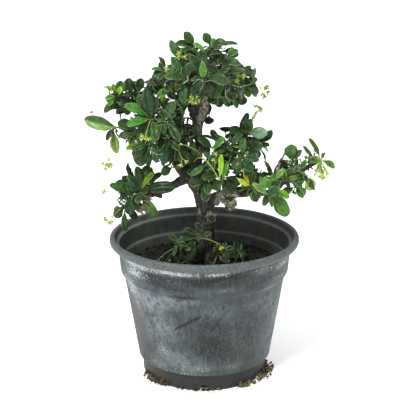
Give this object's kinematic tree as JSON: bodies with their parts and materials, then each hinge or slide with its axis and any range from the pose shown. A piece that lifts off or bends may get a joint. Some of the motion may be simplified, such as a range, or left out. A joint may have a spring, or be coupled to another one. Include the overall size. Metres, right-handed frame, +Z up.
{
  "type": "fukien tea bonsai",
  "caption": "Small bonsai tree with a crooked trunk, clustered glossy leaves and bud clusters, growing in soil in a round tapered plastic nursery pot.",
  "frame": {"origin": "middle of the pot's flat underside", "axes": "+Z up along the pot's axis, -Y towards the viewer of the tree's front, +X to that viewer's right"},
  "size_m": [0.256, 0.2, 0.365],
  "materials": {
    "pot": "matte",
    "soil": "matte",
    "bark": "matte",
    "leaf": "satin",
    "flower": "satin"
  },
  "bodies": {
    "root": {"flowers_base": "flower", "flowers_crown_far_right": "flower", "flowers_crown_left": "flower", "flowers_crown_right": "flower", "flowers_crown_top": "flower", "flowers_crown_under": "flower", "flowers_far_left_berry": "flower", "flowers_left_front": "flower", "flowers_left_low": "flower", "flowers_lower_left_dead": "flower", "flowers_lower_left_low": "flower", "flowers_lower_left_tip": "flower", "flowers_middle_front": "flower", "flowers_middle_spike": "flower", "flowers_oval": "flower", "flowers_right_end": "flower", "pot": "pot", "soil": "soil", "spray_base_left": "leaf", "spray_base_right": "leaf", "spray_crown_back": "leaf", "spray_crown_back_left": "leaf", "spray_crown_back_right": "leaf", "spray_crown_front": "leaf", "spray_crown_left": "leaf", "spray_crown_left_front": "leaf", "spray_crown_right": "leaf", "spray_crown_right_low": "leaf", "spray_far_left": "leaf", "spray_front_right": "leaf", "spray_left_back": "leaf", "spray_left_back_end": "leaf", "spray_left_glossy": "leaf", "spray_left_high": "leaf", "spray_left_inner": "leaf", "spray_left_low": "leaf", "spray_left_tip": "leaf", "spray_lower_left": "leaf", "spray_lower_left_back": "leaf", "spray_lower_left_hang": "leaf", "spray_middle_back": "leaf", "spray_middle_front": "leaf", "spray_middle_left": "leaf", "spray_middle_low": "leaf", "spray_middle_top": "leaf", "spray_right_back": "leaf", "spray_right_end": "leaf", "spray_right_front": "leaf", "spray_right_inner": "leaf", "spray_right_low": "leaf", "spray_right_middle": "leaf", "spray_right_top": "leaf", "spray_right_upper": "leaf", "spray_top_left": "leaf", "spray_top_right": "leaf", "spray_trunk_cross": "leaf", "spray_trunk_front": "leaf", "spray_trunk_leaf": "leaf", "spray_trunk_left": "leaf", "trunk": "bark"}
  },
  "joints": []
}
